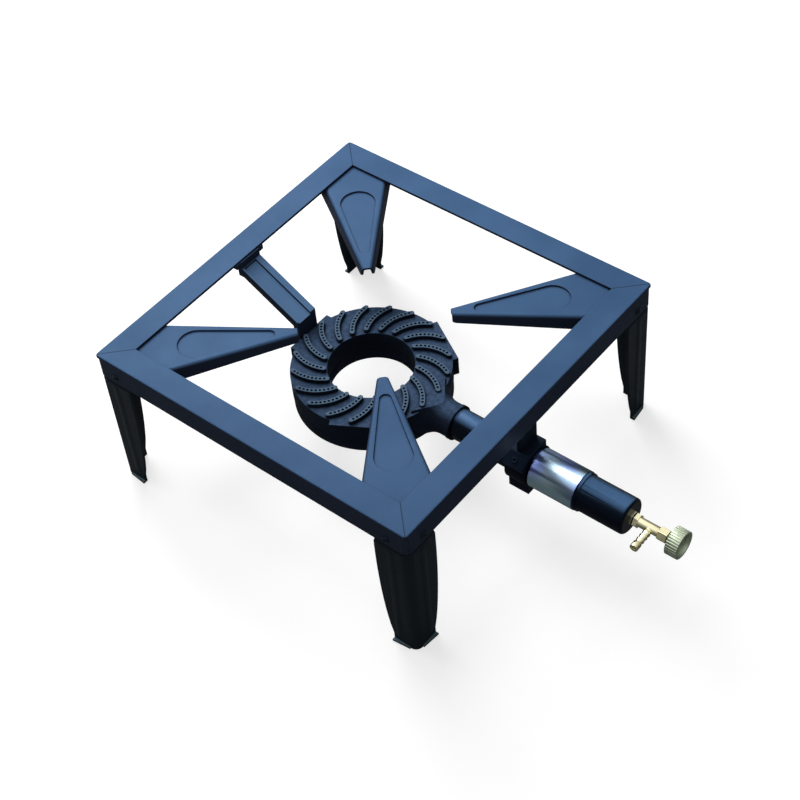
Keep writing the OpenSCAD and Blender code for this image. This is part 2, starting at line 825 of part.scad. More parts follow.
module burner_pan() {
    color([0.11, 0.13, 0.17]) translate([0, burner_y, 0]) difference() {
        union() {
            translate([0, 0, pan_bottom]) difference() {
                cylinder(r = burner_r - pan_inset, h = pan_depth);
                translate([0, 0, pan_floor]) difference() {
                    cylinder(r = chamber_r, h = pan_depth);
                    cylinder(r = chamber_hole_r, h = pan_depth);
                }
            }
            for (a = pan_screw_angles) rotate([0, 0, a])
                translate([pan_screw_reach, 0, pan_bottom]) cylinder(r = boss_r, h = pan_depth);
        }
        translate([0, 0, pan_bottom - cut])
            cylinder(r = burner_hole_r + pan_inset, h = pan_depth + 2 * cut);
        translate([0, -burner_y, 0]) neck_outside(hole_gap);
        for (a = pan_screw_angles) rotate([0, 0, a]) translate([pan_screw_reach, 0, pan_bottom]) {
            translate([0, 0, -cut]) cylinder(r = pan_screw_r + hole_gap, h = pan_depth + 2 * cut);
            translate([0, 0, -cut])
                cylinder(r = pan_screw_head_r + hole_gap, h = pan_screw_head + 0.6 + cut);
        }
    }
}

module pan_screws() {
    color([0.35, 0.37, 0.40]) translate([0, burner_y, pan_bottom + pan_screw_head + 0.6])
        for (a = pan_screw_angles) rotate([0, 0, a]) translate([pan_screw_reach, 0, 0])
            mirror([0, 0, 1]) pan_screw(pan_screw_r, pan_screw_head_r, pan_screw_head,
                                        pan_screw_length);
}

// side view of the arm's beam, drawn in Y and Z, from a depth below its top line
module beam_side(top, bottom, front = pad_y + cut) {
    drop = 1 / cos(arm_slope);
    front_z = arm_top_front + tan(arm_slope) * (front - pad_y);
    rear_z = arm_top_front + tan(arm_slope) * (arm_rear_y - pad_y);
    polygon([[front, front_z - top * drop], [arm_rear_y, rear_z - top * drop],
             [arm_rear_y, rear_z - bottom * drop], [front, front_z - bottom * drop]]);
}

// extrudes a side view by a width, centred on x = 0
module across(width) {
    translate([-width / 2, 0, 0]) rotate([90, 0, 90]) linear_extrude(width) children();
}

module rear_arm() {
    foot_low = frame_height - rail_depth + 2;
    beam_low = arm_top_rear - arm_depth - 2;
    color([0.14, 0.17, 0.24]) difference() {
        union() {
            across(arm_width) beam_side(0, arm_depth);
            translate([-arm_width / 2, pad_y, head_bottom])
                cube([arm_width, arm_flange, arm_top_front - head_bottom]);
            translate([-arm_width / 2, arm_rear_y - cut, beam_low])
                cube([arm_width, arm_foot + cut, flange_under - beam_low]);
            translate([-arm_foot_width / 2, arm_rear_y, flange_under - arm_foot])
                cube([arm_foot_width, skirt_inside - arm_rear_y, arm_foot]);
            translate([-arm_foot_width / 2, skirt_inside - 5, foot_low])
                cube([arm_foot_width, 5, flange_under - foot_low]);
        }
        intersection() {
            across(2 * arm_width) beam_side(-5, arm_recess, pad_y - cut);
            translate([arm_rim_left - arm_width / 2, pad_y - 2 * cut, 0])
                cube([arm_width - arm_rim_left - arm_rim_right, arm_rear_y - pad_y, frame_height]);
        }
        intersection() {
            across(arm_width - 2 * arm_wall) beam_side(arm_recess + arm_wall, arm_depth + 10);
            translate([-arm_width / 2, pad_y + arm_flange, 0])
                cube([arm_width, arm_rear_y - pad_y - arm_flange - 3, frame_height]);
        }
        for (side = [-1, 1])
            translate([side * arm_screw_gap / 2, skirt_inside + cut, arm_screw_z])
                rotate([90, 0, 0]) cylinder(r = arm_screw_r + hole_gap, h = 5 + 2 * cut);
        translate([0, pad_y - cut, arm_bolt_z]) rotate([-90, 0, 0])
            cylinder(r = arm_bolt_r + hole_gap, h = arm_flange + 2 * cut);
    }
}

module at_arm_screws() {
    for (side = [-1, 1]) translate([side * arm_screw_gap / 2, half, arm_screw_z])
        rotate([-90, 0, 0]) children();
}

module arm_screws() {
    color([0.35, 0.37, 0.40]) at_arm_screws()
        pan_screw(arm_screw_r, arm_screw_r * 1.8, arm_screw_head, rail_wall + 5 + 4 + 1.5);
}

module arm_nuts() {
    color([0.45, 0.47, 0.50]) at_arm_screws()
        translate([0, 0, -rail_wall - 5]) nut(arm_screw_r, 4);
}

module arm_bolt() {
    color([0.35, 0.37, 0.40]) translate([0, pad_y + arm_flange, arm_bolt_z]) {
        rotate([-90, 0, 0]) cylinder(r = arm_bolt_r * nut_flats_ratio / cos(30), h = 4, $fn = 6);
        rotate([90, 0, 0]) cylinder(r = arm_bolt_r, h = arm_flange + 9);
    }
}

module mixing_tube() {
    color([0.14, 0.18, 0.28]) difference() {
        run(tube_r, tube_start, tube_end);
        run(tube_r - tube_wall, tube_start - cut, tube_end + cut);
    }
}

// front view of the collar: a ring and a block round the tube, with a lug on the upper left
module collar_outline() {
    circle(r = collar_r);
    translate([-collar_width / 2, -collar_drop]) square([collar_width, collar_drop + collar_rise]);
    rotate([0, 0, 135]) translate([0, -collar_lug_width / 2])
        square([collar_lug_reach, collar_lug_width]);
}

// collar that carries the mixing tube, with a neck up to the front rail
module tube_collar() {
    neck_front = collar_front - collar_neck_back;
    neck_low = axis_height + collar_rise - 3;
    color([0.10, 0.12, 0.17]) difference() {
        union() {
            translate([0, -collar_rear, axis_height]) rotate([90, 0, 0])
                linear_extrude(collar_length) collar_outline();
            translate([-collar_neck_width / 2, -neck_front, neck_low])
                cube([collar_neck_width, collar_neck_wall, flange_under - 0.5 - neck_low]);
        }
        run(tube_r + thread_gap, collar_rear - cut, collar_front + cut);
        translate([0, -set_screw_station, axis_height]) rotate([0, -45, 0])
            cylinder(r = set_screw_r + thread_gap, h = collar_lug_reach + cut);
    }
}

module collar_set_screw() {
    length = collar_lug_reach + 1 - tube_r;
    color([0.35, 0.37, 0.40]) translate([0, -set_screw_station, axis_height])
        rotate([0, -45, 0]) translate([0, 0, tube_r + 0.1]) difference() {
            cylinder(r = set_screw_r, h = length);
            translate([0, 0, length - 2.5]) cylinder(r = set_screw_r * 0.55, h = 3, $fn = 6);
        }
}

// cut-outs for air, below and on the right of the gas line
module air_windows(r) {
    for (centre = [0, 270])
        sector_run(r, window_rear, window_rear + window_length, centre, window_angle);
}

module mixer_body() {
    color([0.12, 0.15, 0.24]) difference() {
        union() {
            run(mixer_r, collar_front, mixer_front - mixer_round);
            run(mixer_stop_r, stop_rear, stop_front);
            translate([0, -mixer_front + mixer_round, axis_height]) rotate([90, 0, 0])
                rotate_extrude() {
                    square([mixer_r - mixer_round, mixer_round]);
                    translate([mixer_r - mixer_round, 0]) intersection() {
                        circle(r = mixer_round);
                        square(mixer_round);
                    }
                }
        }
        run(tube_r + thread_gap, collar_front - cut, tube_end);
        run(mixer_r - mixer_wall, tube_end - cut, mixer_front - mixer_end);
        run(nose_r + thread_gap, mixer_front - mixer_end - cut, mixer_front + cut);
        air_windows(mixer_r + cut);
    }
}

module air_shutter() {
    color([0.80, 0.82, 0.86]) difference() {
        run(shutter_out_r, shutter_rear, shutter_front);
        run(shutter_in_r, shutter_rear - cut, shutter_front + cut);
        air_windows(shutter_out_r + cut);
    }
}

module injector() {
    color([0.78, 0.64, 0.36]) difference() {
        union() {
            hex_run(injector_flats, nose_rear - injector_length / 2, nose_rear);
            translate([0, -nose_rear + injector_length / 2 - cut, axis_height])
                rotate([-90, 0, 0]) cylinder(r1 = injector_flats / 2 - 0.5,
                                             r2 = injector_flats / 4,
                                             h = injector_length / 2 + cut);
            run(tail_groove_r - thread_gap, nose_rear - cut, nose_rear + 5);
        }
        run(jet_r, nose_rear - injector_length - cut, nose_rear);
        run(seat_r + 0.4, nose_rear - injector_length / 2, nose_rear + 5 + cut);
    }
}

module lock_nut() {
    color([0.80, 0.68, 0.42]) difference() {
        hex_run(lock_nut_flats, mixer_front, seal_rear);
        run(nose_r + thread_gap, mixer_front - cut, seal_rear + cut);
    }
}

module valve_seal_ring() {
    color([0.05, 0.05, 0.06]) difference() {
        run(nose_r + 1.4, seal_rear, hex_rear);
        run(nose_r + thread_gap, seal_rear - cut, hex_rear + cut);
    }
}

// outline of the hose tail, along +X from the valve's axis
module tail_outline() {
    grooves = floor((tail_reach - tail_end - valve_r) / tail_pitch);
    square([tail_reach - tail_end, tail_groove_r]);
    translate([tail_reach - tail_end, 0]) square([tail_end, tail_r]);
    for (i = [1 : grooves])
        translate([tail_reach - tail_end - i * tail_pitch, 0])
            polygon([[0, 0], [0, tail_r], [tail_pitch * 0.6, tail_groove_r],
                     [tail_pitch * 0.6, 0]]);
}

module valve_body() {
    color([0.82, 0.71, 0.45]) difference() {
        union() {
            run(nose_r, nose_rear, hex_rear + cut);
            hex_run(valve_flats, hex_rear, valve_rear);
            run(valve_r, valve_rear - cut, gland_rear);
            run(gland_thread_r, gland_rear - cut, gland_front - gland_wall - packing_length);
            translate([0, -tail_station, axis_height]) rotate([0, -90, 0])
                rotate_extrude() rotate([0, 0, 90]) mirror([0, 1, 0]) tail_outline();
        }
        run(tail_groove_r, nose_rear - cut, nose_rear + 5.2);
        run(seat_r, nose_rear, seat_station + cut);
        run(spindle_bore_r, seat_station, gland_front);
        run(gas_chamber_r, seat_station, tail_station + tail_bore_r + 0.5);
        translate([0, -tail_station, axis_height]) rotate([0, -90, 0])
            cylinder(r = tail_bore_r, h = tail_reach + cut);
    }
}

module gland_packing() {
    color([0.25, 0.25, 0.26]) difference() {
        run(gland_thread_r, gland_front - gland_wall - packing_length, gland_front - gland_wall);
        run(spindle_bore_r, gland_rear, gland_front);
    }
}

module gland_nut() {
    color([0.80, 0.68, 0.42]) difference() {
        hex_run(gland_flats, gland_rear, gland_front);
        run(gland_thread_r + thread_gap, gland_rear - cut, gland_front - gland_wall);
        run(spindle_bore_r, gland_rear, gland_front + cut);
    }
}

module spindle() {
    color([0.60, 0.60, 0.58]) difference() {
        union() {
            run(spindle_r, seat_station + needle_length, spindle_front);
            translate([0, -seat_station - needle_length, axis_height]) rotate([-90, 0, 0])
                cylinder(r1 = spindle_r, r2 = needle_tip_r, h = needle_length + needle_reach);
        }
        run(knob_screw_r + thread_gap, spindle_front - 9, spindle_front + cut);
    }
}

module control_knob() {
    color([0.72, 0.75, 0.70]) difference() {
        run(knob_r, knob_rear, knob_front);
        run(knob_r - knob_rim, dish_floor, knob_front + cut);
        run(spindle_bore_r, knob_rear - cut, spindle_front);
        run(knob_screw_r + hole_gap, spindle_front - cut, dish_floor + cut);
        for (i = [0 : knob_flutes - 1])
            translate([0, -knob_rear + cut, axis_height]) rotate([90, 0, 0])
                rotate([0, 0, i * 360 / knob_flutes]) translate([knob_r + 0.5, 0, 0])
                    cylinder(r = 0.9, h = knob_thickness + 2 * cut, $fn = 16);
    }
}

module knob_screw() {
    color([0.70, 0.70, 0.72]) translate([0, -dish_floor, axis_height]) rotate([90, 0, 0])
        difference() {
            pan_screw(knob_screw_r, knob_screw_head_r, knob_screw_head,
                      dish_floor - spindle_front + 7);
            translate([-knob_screw_head_r, -0.4, knob_screw_head - 0.9])
                cube([2 * knob_screw_head_r, 0.8, 1 + cut]);
        }
}

place() front_rail();
place() right_rail();
place() rear_rail();
place() left_rail();
place() front_left_leg();
place() front_right_leg();
place() rear_right_leg();
place() rear_left_leg();
place() leg_screws();
place() leg_nuts();
place() front_left_support();
place() front_right_support();
place() rear_right_support();
place() rear_left_support();
place() burner_head();
place() burner_pan();
place() pan_screws();
place() rear_arm();
place() arm_screws();
place() arm_nuts();
place() arm_bolt();
place() mixing_tube();
place() tube_collar();
place() collar_set_screw();
place() mixer_body();
place() air_shutter();
place() injector();
place() lock_nut();
place() valve_seal_ring();
place() valve_body();
place() gland_packing();
place() gland_nut();
place() spindle();
place() control_knob();
place() knob_screw();
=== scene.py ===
# Gas burner stove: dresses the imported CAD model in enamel, cast iron, chrome and brass
import json
import math

import bmesh
import bpy
from mathutils import Matrix, Vector


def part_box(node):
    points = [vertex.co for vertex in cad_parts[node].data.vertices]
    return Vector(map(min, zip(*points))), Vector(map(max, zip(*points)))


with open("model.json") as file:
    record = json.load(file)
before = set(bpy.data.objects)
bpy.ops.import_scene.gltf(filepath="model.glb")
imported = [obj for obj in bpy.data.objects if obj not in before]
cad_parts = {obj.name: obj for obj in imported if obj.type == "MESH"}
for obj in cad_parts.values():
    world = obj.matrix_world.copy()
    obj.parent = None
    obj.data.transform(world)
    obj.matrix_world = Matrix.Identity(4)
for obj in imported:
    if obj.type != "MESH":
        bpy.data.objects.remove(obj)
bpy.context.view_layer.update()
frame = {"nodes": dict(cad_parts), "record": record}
nodes = frame["nodes"]
mm = 0.001
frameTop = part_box("left_rail")[1].z
frameCentreY = (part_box("left_rail")[0].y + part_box("left_rail")[1].y) / 2
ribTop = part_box("burner_head")[1].z
print("frame loaded:", len(nodes), "nodes")


# materials

# where the masks below start and are full, lengths in mm, and how finely they are sampled
maskSpan = {"height": (0.8, 0.3), "footTop": 3, "wearAndSheen": (0.80, 0.985), "flakes": (0.42, 0.6),
            "seam": (0.35, 1.1), "seamDepth": (1.6, 1.2)}
maskSamples = {"soft": 6, "cavity": 8}


def nodeTree(name):
    # a new material with its node tree and main shader
    material = bpy.data.materials.new(name)
    material.use_nodes = True
    tree = material.node_tree
    return material, tree, tree.nodes["Principled BSDF"]


def noise(tree, scale, detail, rough=0.5, stretch=(1, 1, 1)):
    # noise in the piece's own coordinates, in metres
    place = tree.nodes.new("ShaderNodeTexCoord")
    mapping = tree.nodes.new("ShaderNodeMapping")
    mapping.inputs["Scale"].default_value = stretch
    texture = tree.nodes.new("ShaderNodeTexNoise")
    texture.inputs["Scale"].default_value = scale
    texture.inputs["Detail"].default_value = detail
    texture.inputs["Roughness"].default_value = rough
    tree.links.new(place.outputs["Object"], mapping.inputs["Vector"])
    tree.links.new(mapping.outputs["Vector"], texture.inputs["Vector"])
    return texture.outputs["Fac"]


def ranged(tree, source, low, high, fromLow=0.3, fromHigh=0.7):
    # maps a span of the source, by default the one that noise keeps to, onto low to high
    span = tree.nodes.new("ShaderNodeMapRange")
    span.inputs["From Min"].default_value = fromLow
    span.inputs["From Max"].default_value = fromHigh
    span.inputs["To Min"].default_value = low
    span.inputs["To Max"].default_value = high
    tree.links.new(source, span.inputs["Value"])
    return span.outputs["Result"]


def blendColour(tree, factor, first, second):
    # the first colour where the factor is 0 and the second where it is 1, each a socket or a value
    mix = tree.nodes.new("ShaderNodeMix")
    mix.data_type = "RGBA"
    for socket, value in (("A", first), ("B", second)):
        target = next(s for s in mix.inputs if s.name == socket and s.type == "RGBA")
        if isinstance(value, bpy.types.NodeSocket):
            tree.links.new(value, target)
        else:
            target.default_value = (*value, 1)
    tree.links.new(factor, mix.inputs["Factor"])
    return next(s for s in mix.outputs if s.type == "RGBA")


def combine(tree, first, second, operation="MULTIPLY", clamp=True):
    # one step of arithmetic on two values, each a socket or a number
    step = tree.nodes.new("ShaderNodeMath")
    step.operation = operation
    step.use_clamp = clamp
    for index, value in enumerate((first, second)):
        if isinstance(value, bpy.types.NodeSocket):
            tree.links.new(value, step.inputs[index])
        else:
            step.inputs[index].default_value = value
    return step.outputs["Value"]


def placeAxes(tree):
    # the place on the piece, in metres, as separate X, Y and Z
    place = tree.nodes.new("ShaderNodeTexCoord")
    split = tree.nodes.new("ShaderNodeSeparateXYZ")
    tree.links.new(place.outputs["Object"], split.inputs["Vector"])
    return split.outputs


def bump(tree, shader, layers, last=None):
    # stacks bumps on a normal, each a height socket with its depth in millimetres
    for height, depth in layers:
        node = tree.nodes.new("ShaderNodeBump")
        node.inputs["Strength"].default_value = 1.0
        node.inputs["Distance"].default_value = depth * mm
        tree.links.new(height, node.inputs["Height"])
        if last:
            tree.links.new(last, node.inputs["Normal"])
        last = node.outputs["Normal"]
    tree.links.new(last, shader.inputs["Normal"])


def topLitMask(tree, low, high):
    # 0 on sides, 1 on faces that look up, which take the top colour as painted light from above
    geometry = tree.nodes.new("ShaderNodeNewGeometry")
    split = tree.nodes.new("ShaderNodeSeparateXYZ")
    tree.links.new(geometry.outputs["Normal"], split.inputs["Vector"])
    return ranged(tree, split.outputs["Z"], 0, 1, low, high)


def atHeight(tree, height):
    # 1 on the faces at a height in metres, such as the tops of the burner's ribs, and 0 below them
    start, full = (height - depth * mm for depth in maskSpan["height"])
    return ranged(tree, placeAxes(tree)["Z"], 0, 1, start, full)


def nearFloor(tree, height):
    # 1 up to a height in millimetres, fading out above it; on the legs it keeps the lighter top
    # colour to the feet
    end = (height + maskSpan["footTop"]) * mm
    return ranged(tree, placeAxes(tree)["Z"], 1, 0, height * mm, end)


def softNormal(tree, radius):
    # normal rounded over the edges, as thick paint or a casting's rounding makes them
    soft = tree.nodes.new("ShaderNodeBevel")
    soft.samples = maskSamples["soft"]
    soft.inputs["Radius"].default_value = radius * mm
    return soft.outputs["Normal"]


def edgeWearAndLight(tree, soft):
    # 1 along convex and concave edges, from the difference between the rounded and the true normal
    geometry = tree.nodes.new("ShaderNodeNewGeometry")
    dot = tree.nodes.new("ShaderNodeVectorMath")
    dot.operation = "DOT_PRODUCT"
    tree.links.new(soft, dot.inputs[0])
    tree.links.new(geometry.outputs["Normal"], dot.inputs[1])
    return ranged(tree, dot.outputs["Value"], 1, 0, *maskSpan["wearAndSheen"])


def cavity(tree, reach, shadeSpan):
    # 1 deep in corners and grooves, where light does not get, 0 in the open; it masks painted shade
    shade = tree.nodes.new("ShaderNodeAmbientOcclusion")
    shade.samples = maskSamples["cavity"]
    shade.inputs["Distance"].default_value = reach * mm
    return ranged(tree, shade.outputs["AO"], 1, 0, *shadeSpan)


def mitreSeam(tree):
    # 1 in a hair line along the frame's two diagonals, on the rails' top face only
    place = placeAxes(tree)
    across = combine(tree, place["X"], 0, "ABSOLUTE", False)
    along = combine(tree, place["Y"], frameCentreY, "SUBTRACT", False)
    along = combine(tree, along, 0, "ABSOLUTE", False)
    away = combine(tree, across, along, "SUBTRACT", False)
    away = combine(tree, away, 0, "ABSOLUTE", False)
    full, end = (width * mm for width in maskSpan["seam"])
    line = ranged(tree, away, 1, 0, full, end)
    low, high = (frameTop - depth * mm for depth in maskSpan["seamDepth"])
    topFace = ranged(tree, place["Z"], 0, 1, low, high)
    return combine(tree, line, topFace)


# noise of colour clouds, fine grain, orange peel and slow waves of the sheet,
# each with its scale per metre, detail and roughness
enamelNoise = {"cloud": (13, 4), "fine": (140, 4, 0.6), "peel": (520, 2), "wave": (26, 1)}


def enamel(name, look):
    # sprayed enamel over steel: near black on the sides, with painted light in steel blue where it
    # looks up
    material, tree, shader = nodeTree(name)
    soft = softNormal(tree, look["soft"])
    cloud = noise(tree, *enamelNoise["cloud"])
    fine = noise(tree, *enamelNoise["fine"])
    peel = noise(tree, *enamelNoise["peel"])
    wave = noise(tree, *enamelNoise["wave"])
    side = blendColour(tree, ranged(tree, cloud, 0, 1), look["side"], look["sideLight"])
    top = blendColour(tree, ranged(tree, cloud, 0, 1), look["top"], look["topLight"])
    # painted light: faces that look up take the lighter top colour
    topLit = topLitMask(tree, *look["rise"])
    # on the legs the lighter top colour is kept to the feet
    if look["footTop"]:
        topLit = combine(tree, topLit, nearFloor(tree, look["footTop"]))
    colour = blendColour(tree, topLit, side, top)
    # edges take a lighter colour, partly worn paint and partly a painted highlight
    flakes = ranged(tree, fine, 0, 1, *maskSpan["flakes"])
    wornAndSheen = combine(tree, edgeWearAndLight(tree, soft), flakes)
    colour = blendColour(tree, combine(tree, wornAndSheen, look["wearAndSheen"]), colour, look["wornAndSheen"])
    if look["seam"]:
        seam = combine(tree, mitreSeam(tree), look["seam"])
        colour = blendColour(tree, seam, colour, look["side"])
    # painted shade: corners and grooves darken to the side colour
    if look["cavity"]:
        deep = combine(tree, cavity(tree, look["cavity"], look["shadeSpan"]), look["shadeStrength"])
        colour = blendColour(tree, deep, colour, look["side"])
    tree.links.new(colour, shader.inputs["Base Color"])
    smoother, rougher = look["spread"]
    rough = ranged(tree, fine, look["rough"] - smoother, look["rough"] + rougher)
    tree.links.new(rough, shader.inputs["Roughness"])
    shader.inputs["Specular IOR Level"].default_value = look["specular"]
    shader.inputs["Specular Tint"].default_value = (*look["tint"], 1)
    bump(tree, shader, ((wave, look["wave"]), (peel, look["peel"])), soft)
    return material


# noise of sand grain, pits and colour clouds, each with its scale per metre, detail and roughness
ironNoise = {"grain": (700, 3, 0.6), "pits": (240, 4, 0.6), "cloud": (22, 3)}


def castIron(name, look):
    # sand-cast grain under a thin blue-black coat, with painted light where it looks up, lightest
    # on the ribs' tops
    material, tree, shader = nodeTree(name)
    grain = noise(tree, *ironNoise["grain"])
    pits = noise(tree, *ironNoise["pits"])
    cloud = noise(tree, *ironNoise["cloud"])
    side = blendColour(tree, ranged(tree, cloud, 0, 1), look["side"], look["sideLight"])
    top = blendColour(tree, ranged(tree, pits, 0, 1), look["top"], look["topLight"])
    top = blendColour(tree, atHeight(tree, ribTop), top, look["rib"])
    # painted light: faces that look up take the top colour
    colour = blendColour(tree, topLitMask(tree, *look["rise"]), side, top)
    # painted shade: the edges of ports and ribs darken to near black
    soft = softNormal(tree, look["soft"])
    colour = blendColour(tree, edgeWearAndLight(tree, soft), colour, look["edge"])
    # painted shade: corners and grooves darken to the side colour
    deep = combine(tree, cavity(tree, look["cavity"], look["shadeSpan"]), look["shadeStrength"])
    colour = blendColour(tree, deep, colour, look["side"])
    tree.links.new(colour, shader.inputs["Base Color"])
    smoother, rougher = look["spread"]
    rough = ranged(tree, pits, look["rough"] - smoother, look["rough"] + rougher)
    tree.links.new(rough, shader.inputs["Roughness"])
    shader.inputs["Specular IOR Level"].default_value = look["specular"]
    shader.inputs["Specular Tint"].default_value = (*look["tint"], 1)
    bump(tree, shader, ((pits, look["pits"]), (grain, look["grain"])), soft)
    return material


# painted shade in the corners of bare metal: its reach in mm, where it starts and ends, and its
# colour
cornerShade = {"reach": 1.5, "shadeSpan": (0.35, 0.80), "colour": (0.06, 0.05, 0.025)}


def metal(name, look):
    # bare or plated metal with fine turning marks and smears; on chrome the smears' colours are
    # painted reflections
    material, tree, shader = nodeTree(name)
    lines = noise(tree, look["lines"], detail=2, stretch=look["stretch"])
    smearAndSheen = noise(tree, look["smearAndSheen"], detail=4, rough=look["mottle"])
    colour = blendColour(tree, ranged(tree, smearAndSheen, 0, 1), look["colour"], look["second"])
    # edges take the worn colour: rubbed metal, and on chrome a dark blue rim that is a painted
    # reflection
    wornAndSheen = edgeWearAndLight(tree, softNormal(tree, look["rim"]))
    colour = blendColour(tree, combine(tree, wornAndSheen, look["wearAndSheen"]), colour, look["wornAndSheen"])
    # painted shade: corners darken
    if look["cornerShade"]:
        deep = combine(tree, cavity(tree, cornerShade["reach"], cornerShade["shadeSpan"]), look["cornerShade"])
        colour = blendColour(tree, deep, colour, cornerShade["colour"])
    tree.links.new(colour, shader.inputs["Base Color"])
    shader.inputs["Metallic"].default_value = 1
    rough = ranged(tree, smearAndSheen, look["rough"] - look["spread"], look["rough"] + look["spread"])
    tree.links.new(rough, shader.inputs["Roughness"])
    bump(tree, shader, ((lines, look["depth"]),))
    return material


# looks: linear colours; soft, wave, peel, pits, grain, depth, rim, cavity and the feet's top height
# are in mm, lines and the smears' scale per metre; rise is where the top colour, painted light on
# faces that look up, starts and is full, by the normal's Z
framePaint = {
    "side": (0.013, 0.019, 0.038), "sideLight": (0.017, 0.025, 0.048),
    "top": (0.040, 0.087, 0.180), "topLight": (0.056, 0.116, 0.230), "rise": (0.48, 0.96),
    "wornAndSheen": (0.16, 0.22, 0.34), "wearAndSheen": 0.32, "soft": 1.0,
    "rough": 0.38, "spread": (0.06, 0.08), "specular": 0.035, "tint": (0.6, 0.8, 1),
    "wave": 0.06, "peel": 0.008,
    "seam": 0.6, "cavity": 4.5, "shadeSpan": (0.42, 0.86), "shadeStrength": 0.85, "footTop": 0}
plainPaint = dict(framePaint, seam=0)
legPaint = dict(
    plainPaint, side=(0.011, 0.016, 0.021), sideLight=(0.015, 0.020, 0.027),
    top=(0.085, 0.135, 0.16), topLight=(0.11, 0.17, 0.19),
    wearAndSheen=0.05, specular=0.05, rough=0.34, soft=2.0, cavity=0, footTop=5)
armPaint = dict(
    plainPaint, top=(0.104, 0.204, 0.385), topLight=(0.122, 0.232, 0.420),
    wave=0.35, peel=0.04, cavity=1.6, shadeSpan=(0.35, 0.80))
# the mixer and its tube: near black, with a painted highlight band along the top from the narrow
# rise
mixerPaint = dict(
    plainPaint, side=(0.002, 0.003, 0.006), sideLight=(0.003, 0.005, 0.010),
    top=(0.054, 0.120, 0.245), topLight=(0.064, 0.138, 0.270), rise=(0.78, 0.985),
    specular=0.14, tint=(0.30, 0.55, 1.0), rough=0.28, wearAndSheen=0.05, cavity=0)
collarPaint = dict(
    plainPaint, side=(0.003, 0.006, 0.012), sideLight=(0.005, 0.009, 0.018),
    top=(0.008, 0.014, 0.028), topLight=(0.011, 0.019, 0.036),
    specular=0.05, wave=0.2, peel=0.03, wearAndSheen=0.1)
screwPaint = dict(
    plainPaint, side=(0.005, 0.009, 0.017), sideLight=(0.008, 0.013, 0.024),
    top=(0.008, 0.012, 0.022), topLight=(0.012, 0.018, 0.030),
    wearAndSheen=0.5, specular=0.2, soft=0.4, cavity=0)
darkFill = dict(
    plainPaint, side=(0.01, 0.01, 0.011), sideLight=(0.014, 0.014, 0.015),
    wearAndSheen=0.0, rough=0.7, cavity=0)
rubberFill = dict(darkFill, top=(0.01, 0.01, 0.011), topLight=(0.014, 0.014, 0.016))
packingFill = dict(darkFill, top=(0.03, 0.03, 0.032), topLight=(0.05, 0.05, 0.05))
burnerIron = {
    "side": (0.006, 0.010, 0.019), "sideLight": (0.012, 0.018, 0.032),
    "top": (0.024, 0.044, 0.088), "topLight": (0.052, 0.088, 0.160), "rise": (0.66, 0.985),
    # edge is the colour of the painted shade along port and rib edges
    "rib": (0.076, 0.124, 0.190), "edge": (0.005, 0.009, 0.018), "soft": 0.8,
    "rough": 0.48, "spread": (0.08, 0.14), "specular": 0.025, "tint": (0.6, 0.8, 1),
    "pits": 0.35, "grain": 0.12,
    "cavity": 4.0, "shadeSpan": (0.45, 0.95), "shadeStrength": 0.95}
# the chrome's cyan and blue colours, their patches and its dark blue rim are painted reflections
shutterChrome = {
    "colour": (0.66, 0.92, 0.95), "second": (0.34, 0.46, 0.98),
    "wornAndSheen": (0.16, 0.18, 0.85), "wearAndSheen": 0.5,
    "lines": 160, "stretch": (1, 0.05, 1), "depth": 0.0015, "rough": 0.25, "spread": 0.01,
    "cornerShade": 0, "smearAndSheen": 34, "mottle": 0.1, "rim": 1.6}
valveBrass = {
    "colour": (0.95, 0.90, 0.62), "second": (0.68, 0.62, 0.36),
    "wornAndSheen": (0.95, 0.92, 0.75), "wearAndSheen": 0.5,
    "lines": 1200, "stretch": (1, 3, 1), "depth": 0.01, "rough": 0.24, "spread": 0.06,
    "cornerShade": 0.45, "smearAndSheen": 60, "mottle": 0.6, "rim": 0.5}
knobMetal = dict(
    valveBrass, colour=(0.46, 0.52, 0.39), second=(0.36, 0.41, 0.31), wornAndSheen=(0.7, 0.73, 0.64),
    lines=800, stretch=(1, 1, 1), depth=0.02, rough=0.46, spread=0.07, cornerShade=0.25)
zincSteel = dict(
    valveBrass, colour=(0.42, 0.44, 0.46), second=(0.34, 0.36, 0.38), wornAndSheen=(0.6, 0.6, 0.62),
    lines=900, stretch=(1, 1, 1), depth=0.01, rough=0.32, spread=0.08, cornerShade=0.5)
spindleSteel = dict(
    valveBrass, colour=(0.22, 0.22, 0.21), second=(0.14, 0.14, 0.13), wornAndSheen=(0.4, 0.4, 0.4),
    lines=1500, stretch=(1, 4, 1), depth=0.008, rough=0.25, spread=0.05, cornerShade=0.8)
finishes = {
    "frame_paint": enamel("frameEnamel", framePaint),
    "leg_paint": enamel("legEnamel", legPaint),
    "arm_paint": enamel("armEnamel", armPaint),
    "tube_paint": enamel("tubeEnamel", mixerPaint),
    "collar_paint": enamel("collarEnamel", collarPaint),
    "mixer_paint": enamel("mixerEnamel", mixerPaint),
    "screw_steel": enamel("screwEnamel", screwPaint),
    "burner_iron": castIron("burnerIron", burnerIron),
    "shutter_chrome": metal("shutterChrome", shutterChrome),
    "valve_brass": metal("valveBrass", valveBrass),
    "knob_metal": metal("knobMetal", knobMetal),
    "nut_steel": metal("zincSteel", zincSteel),
    "spindle_steel": metal("spindleSteel", spindleSteel),
    "seal_rubber": enamel("sealRubber", rubberFill),
    "packing_fibre": enamel("packingFibre", packingFill),
}
print("materials made:", len(finishes))


# finish on the CAD nodes

# merge distance in mm, angles in degrees
edgeFinish = {"merge": 0.002, "flatten": 0.6, "segments": 2, "sharper": 35}


